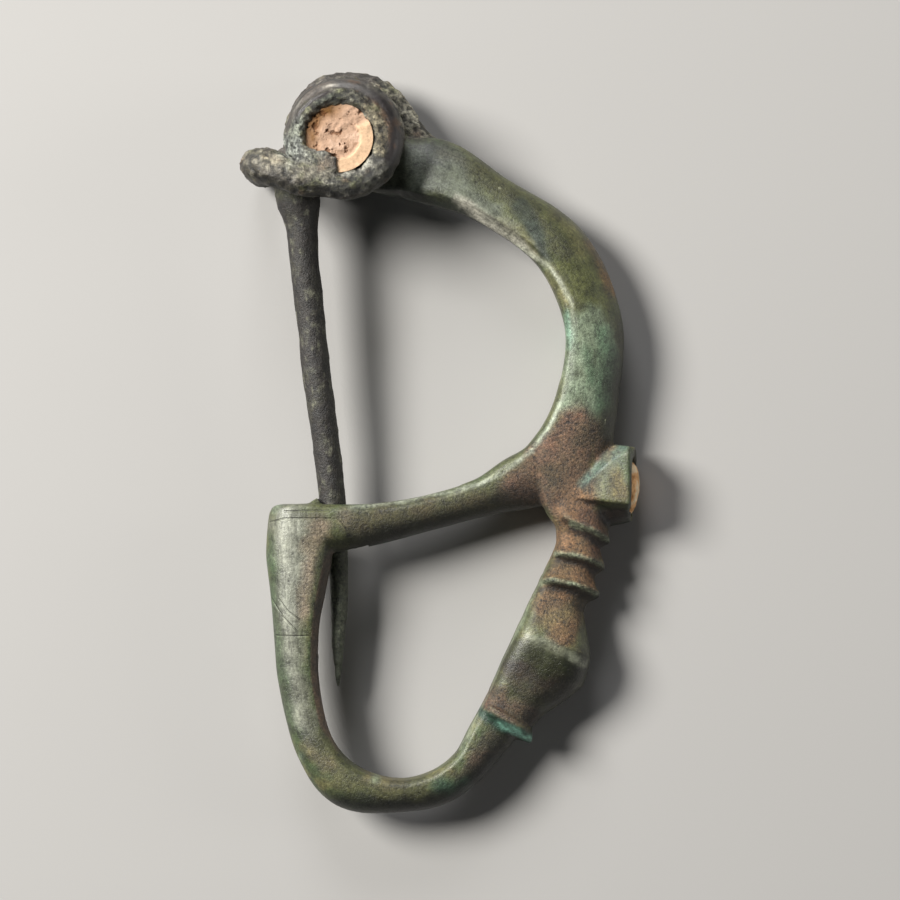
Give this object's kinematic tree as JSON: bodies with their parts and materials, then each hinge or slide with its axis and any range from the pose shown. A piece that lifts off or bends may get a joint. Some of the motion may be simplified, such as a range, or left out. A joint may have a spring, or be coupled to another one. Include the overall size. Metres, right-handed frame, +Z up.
{
  "type": "fibula brooch",
  "caption": "Bronze bow brooch with a two-sided spring, long pin, gutter catch and a moulded foot turned back in a loop to the bow, with a disc cup and pale inlays.",
  "frame": {"origin": "centre of the bounding box's underside, on the surface that the brooch lies on", "axes": "+Z up from the surface, through the brooch's thickness; +Y from the foot's bend towards the spring; +X towards the bow's outer side"},
  "size_m": [0.0324, 0.0602, 0.0119],
  "materials": {
    "bronze": "patinated green and brown",
    "spring_fill": "crumbly, matte",
    "inlay": "matte"
  },
  "bodies": {
    "root": {"brooch": "bronze", "spring_plug": "spring_fill", "disc_inlay": "inlay"}
  },
  "joints": []
}
